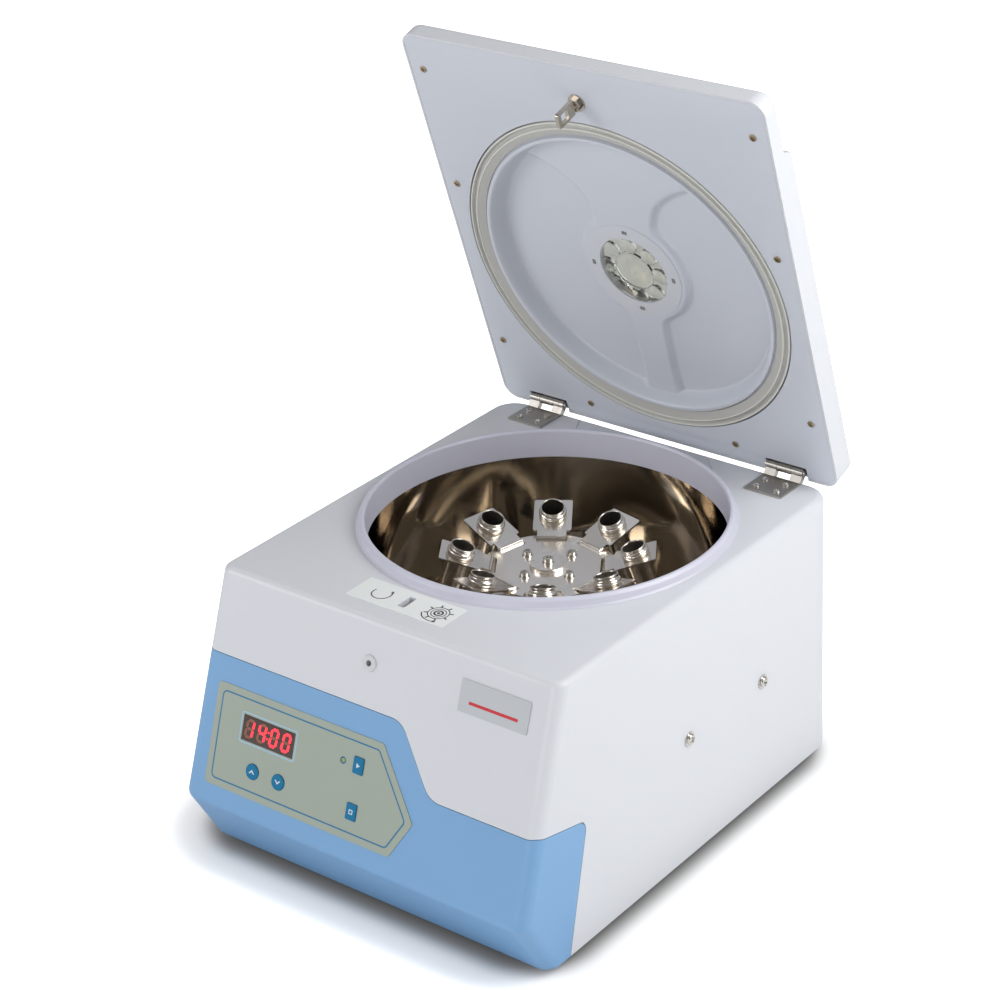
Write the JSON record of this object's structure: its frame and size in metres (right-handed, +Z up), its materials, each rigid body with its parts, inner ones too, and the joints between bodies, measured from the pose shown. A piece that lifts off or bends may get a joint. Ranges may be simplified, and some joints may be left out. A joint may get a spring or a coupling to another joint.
{
  "type": "laboratory centrifuge",
  "caption": "Bench-top laboratory centrifuge with an open hinged lid, stainless chamber, swing-out rotor with tube buckets, sloping control panel and lid lock.",
  "frame": {"origin": "where the rotor's axis meets the bench under the feet", "axes": "+Z up along the rotor axis, front control panel towards -Y, +X to the right seen from the front"},
  "size_m": [0.3354, 0.4493, 0.5928],
  "materials": {
    "housing_white": "fine moulded texture",
    "panel_blue": "smooth",
    "overlay_grey": "embossed film",
    "window_dark": "clear over dark",
    "display_black": "matt",
    "led_red": "diffused",
    "key_blue": "satin",
    "pcb_green": "solder mask",
    "plate_silver": "satin",
    "label_white": "film",
    "bush_grey": "satin",
    "tray_zinc": "zinc plated",
    "foot_rubber": "matt",
    "screw_steel": "plated",
    "bowl_steel": "mirror polished",
    "collar_soft": "soft satin",
    "support_steel": "plated",
    "motor_grey": "painted",
    "core_iron": "laminated",
    "mount_rubber": "matt",
    "lock_steel": "zinc plated",
    "bolt_steel": "ground",
    "inlet_black": "matt",
    "rocker_black": "satin",
    "hinge_steel": "satin",
    "shell_white": "smooth",
    "liner_white": "smooth",
    "seal_offwhite": "soft",
    "port_white": "smooth",
    "clear": "clear",
    "screw_brown": "passivated",
    "shaft_steel": "ground",
    "rotor_steel": "satin",
    "bucket_steel": "polished"
  },
  "bodies": {
    "base": {"base_tray": "tray_zinc", "bowl_supports": "support_steel", "chamber_bowl": "bowl_steel", "chamber_collar": "collar_soft", "control_board": "pcb_green", "control_overlay": "overlay_grey", "display_module": "display_black", "display_window": "window_dark", "drive_board": "pcb_green", "front_panel": "panel_blue", "fuse_holder": "inlet_black", "hinge_leaves_lower": "hinge_steel", "hinge_pins": "hinge_steel", "hinge_screws": "screw_steel", "housing_shell": "housing_white", "latch_lock": "lock_steel", "motor_bearings": "shaft_steel", "motor_housing": "motor_grey", "motor_plate": "tray_zinc", "motor_posts": "support_steel", "name_plate": "plate_silver", "power_inlet": "inlet_black", "release_bush": "bush_grey", "rubber_feet": "foot_rubber", "shaft_boot": "mount_rubber", "side_screws": "screw_steel", "status_led": "led_red", "switch_frame": "inlet_black", "top_label": "label_white", "vibration_mounts": "mount_rubber"},
    "lid": {"lid_shell": "shell_white", "lid_liner": "liner_white", "lid_seal": "seal_offwhite", "viewport_ring": "port_white", "viewport_lens": "clear", "outer_window": "clear", "lid_screws": "screw_brown", "latch_striker": "bolt_steel", "striker_nut": "hinge_steel", "hinge_leaves_upper": "hinge_steel"},
    "rotor": {"motor_shaft": "shaft_steel", "motor_core": "core_iron", "rotor_hub": "rotor_steel", "rotor_disc": "rotor_steel", "rotor_cap": "rotor_steel", "rotor_screws": "screw_steel"},
    "key_up": {"key_up": "key_blue"},
    "key_down": {"key_down": "key_blue"},
    "key_start": {"key_start": "key_blue"},
    "key_stop": {"key_stop": "key_blue"},
    "power_rocker": {"power_rocker": "rocker_black"},
    "latch_bolt": {"latch_bolt": "bolt_steel"},
    "bucket_1": {"bucket_1": "bucket_steel"},
    "bucket_2": {"bucket_2": "bucket_steel"},
    "bucket_3": {"bucket_3": "bucket_steel"},
    "bucket_4": {"bucket_4": "bucket_steel"},
    "bucket_5": {"bucket_5": "bucket_steel"},
    "bucket_6": {"bucket_6": "bucket_steel"},
    "bucket_7": {"bucket_7": "bucket_steel"},
    "bucket_8": {"bucket_8": "bucket_steel"}
  },
  "joints": [
    {"name": "lid_hinge", "type": "hinge", "parent": "base", "child": "lid", "pos_m": [0, 0.1626, 0.243], "axis": [1, 0, 0], "range_deg": [0, 71.3]},
    {"name": "rotor_spin", "type": "hinge", "parent": "base", "child": "rotor", "pos_m": [0, 0, 0.192], "axis": [0, 0, 1], "continuous": true},
    {"name": "bucket_1_swing", "type": "hinge", "parent": "rotor", "child": "bucket_1", "pos_m": [-0.02485, 0.03812, 0.1932], "axis": [0.8377, 0.5461, 0], "range_deg": [0, 72]},
    {"name": "bucket_2_swing", "type": "hinge", "parent": "rotor", "child": "bucket_2", "pos_m": [-0.04452, 0.00938, 0.1932], "axis": [0.2062, 0.9785, 0], "range_deg": [0, 72]},
    {"name": "bucket_3_swing", "type": "hinge", "parent": "rotor", "child": "bucket_3", "pos_m": [-0.03812, -0.02485, 0.1932], "axis": [-0.5461, 0.8377, 0], "range_deg": [0, 72]},
    {"name": "bucket_4_swing", "type": "hinge", "parent": "rotor", "child": "bucket_4", "pos_m": [-0.00938, -0.04452, 0.1932], "axis": [-0.9785, 0.2062, 0], "range_deg": [0, 72]},
    {"name": "bucket_5_swing", "type": "hinge", "parent": "rotor", "child": "bucket_5", "pos_m": [0.02485, -0.03812, 0.1932], "axis": [-0.8377, -0.5461, 0], "range_deg": [0, 72]},
    {"name": "bucket_6_swing", "type": "hinge", "parent": "rotor", "child": "bucket_6", "pos_m": [0.04452, -0.00938, 0.1932], "axis": [-0.2062, -0.9785, 0], "range_deg": [0, 72]},
    {"name": "bucket_7_swing", "type": "hinge", "parent": "rotor", "child": "bucket_7", "pos_m": [0.03812, 0.02485, 0.1932], "axis": [0.5461, -0.8377, 0], "range_deg": [0, 72]},
    {"name": "bucket_8_swing", "type": "hinge", "parent": "rotor", "child": "bucket_8", "pos_m": [0.00938, 0.04452, 0.1932], "axis": [0.9785, -0.2062, 0], "range_deg": [0, 72]},
    {"name": "key_up_press", "type": "slide", "parent": "base", "child": "key_up", "axis": [0, 0.9471, -0.3211], "range_m": [0, 0.0005], "stiffness_N_per_m": 900, "springref_m": -0.0004},
    {"name": "key_down_press", "type": "slide", "parent": "base", "child": "key_down", "axis": [0, 0.9471, -0.3211], "range_m": [0, 0.0005], "stiffness_N_per_m": 900, "springref_m": -0.0004},
    {"name": "key_start_press", "type": "slide", "parent": "base", "child": "key_start", "axis": [0, 0.9471, -0.3211], "range_m": [0, 0.0005], "stiffness_N_per_m": 900, "springref_m": -0.0004},
    {"name": "key_stop_press", "type": "slide", "parent": "base", "child": "key_stop", "axis": [0, 0.9471, -0.3211], "range_m": [0, 0.0005], "stiffness_N_per_m": 900, "springref_m": -0.0004},
    {"name": "power_rocker_tilt", "type": "hinge", "parent": "base", "child": "power_rocker", "pos_m": [-0.066, 0.1625, 0.046], "axis": [1, 0, 0], "range_deg": [-18, 0]},
    {"name": "latch_bolt_slide", "type": "slide", "parent": "base", "child": "latch_bolt", "axis": [-1, 0, 0], "range_m": [0, 0.009]}
  ],
  "couplings": [
    {"joint": "bucket_2_swing", "follows": "bucket_1_swing", "ratio": 1},
    {"joint": "bucket_3_swing", "follows": "bucket_1_swing", "ratio": 1},
    {"joint": "bucket_4_swing", "follows": "bucket_1_swing", "ratio": 1},
    {"joint": "bucket_5_swing", "follows": "bucket_1_swing", "ratio": 1},
    {"joint": "bucket_6_swing", "follows": "bucket_1_swing", "ratio": 1},
    {"joint": "bucket_7_swing", "follows": "bucket_1_swing", "ratio": 1},
    {"joint": "bucket_8_swing", "follows": "bucket_1_swing", "ratio": 1}
  ]
}
